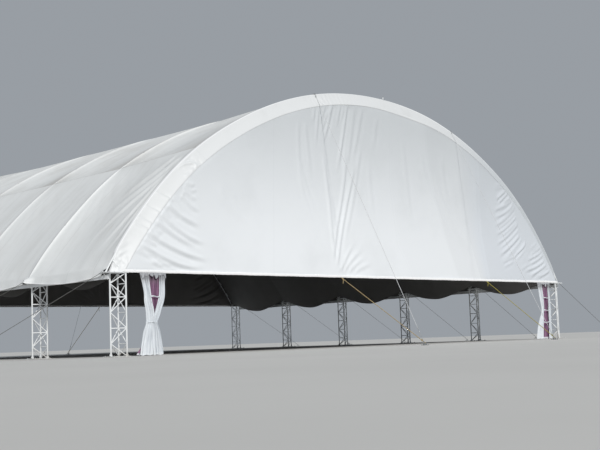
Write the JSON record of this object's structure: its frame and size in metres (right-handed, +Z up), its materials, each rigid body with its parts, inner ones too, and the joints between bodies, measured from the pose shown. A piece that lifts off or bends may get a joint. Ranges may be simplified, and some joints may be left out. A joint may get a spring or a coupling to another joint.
{
  "type": "arched membrane marquee",
  "caption": "Barrel-vaulted event marquee: white tensioned membrane over triangular lattice arches on lattice columns, with closed gables, open sides and guyed anchors.",
  "frame": {"origin": "centre of the plan at ground level, under the middle of the vault", "axes": "+X to the right across the span seen from the front, +Y from the front to the rear along the hall, +Z up"},
  "size_m": [39.38, 35.58, 10.9],
  "materials": {
    "membrane": "white coated membrane with a low sheen, grey lining inside, faint weathering",
    "frame_paint": "white gloss paint on welded tube, slightly scuffed",
    "steel": "galvanised wire rope and anchors, dull",
    "rope": "laid fibre rope, tan to yellow, matt",
    "drape": "soft white drape over gathered purple cloth, matt"
  },
  "bodies": {
    "root": {"column_left_1": "frame_paint", "column_right_1": "frame_paint", "arch_1": "frame_paint", "column_left_2": "frame_paint", "column_right_2": "frame_paint", "arch_2": "frame_paint", "column_left_3": "frame_paint", "column_right_3": "frame_paint", "arch_3": "frame_paint", "column_left_4": "frame_paint", "column_right_4": "frame_paint", "arch_4": "frame_paint", "column_left_5": "frame_paint", "column_right_5": "frame_paint", "arch_5": "frame_paint", "column_left_6": "frame_paint", "column_right_6": "frame_paint", "arch_6": "frame_paint", "roof_bay_1": "membrane", "roof_bay_2": "membrane", "roof_bay_3": "membrane", "roof_bay_4": "membrane", "roof_bay_5": "membrane", "haunch_purlin_left": "frame_paint", "crown_purlin_left": "frame_paint", "eave_beam_left": "frame_paint", "haunch_purlin_right": "frame_paint", "crown_purlin_right": "frame_paint", "eave_beam_right": "frame_paint", "front_band": "membrane", "front_gable": "membrane", "front_hem": "membrane", "front_cable_left": "steel", "front_rope_left": "rope", "front_cable_right": "steel", "front_rope_right": "rope", "rear_band": "membrane", "rear_gable": "membrane", "rear_hem": "membrane", "rear_cable_left": "steel", "rear_rope_left": "rope", "rear_cable_right": "steel", "rear_rope_right": "rope", "side_stay_left_1": "steel", "side_stay_left_2": "steel", "side_stay_left_3": "steel", "side_stay_left_4": "steel", "side_stay_left_5": "steel", "side_stay_left_6": "steel", "side_stay_right_1": "steel", "side_stay_right_2": "steel", "side_stay_right_3": "steel", "side_stay_right_4": "steel", "side_stay_right_5": "steel", "side_stay_right_6": "steel", "curtain_left": "drape", "curtain_right": "drape"}
  },
  "joints": []
}
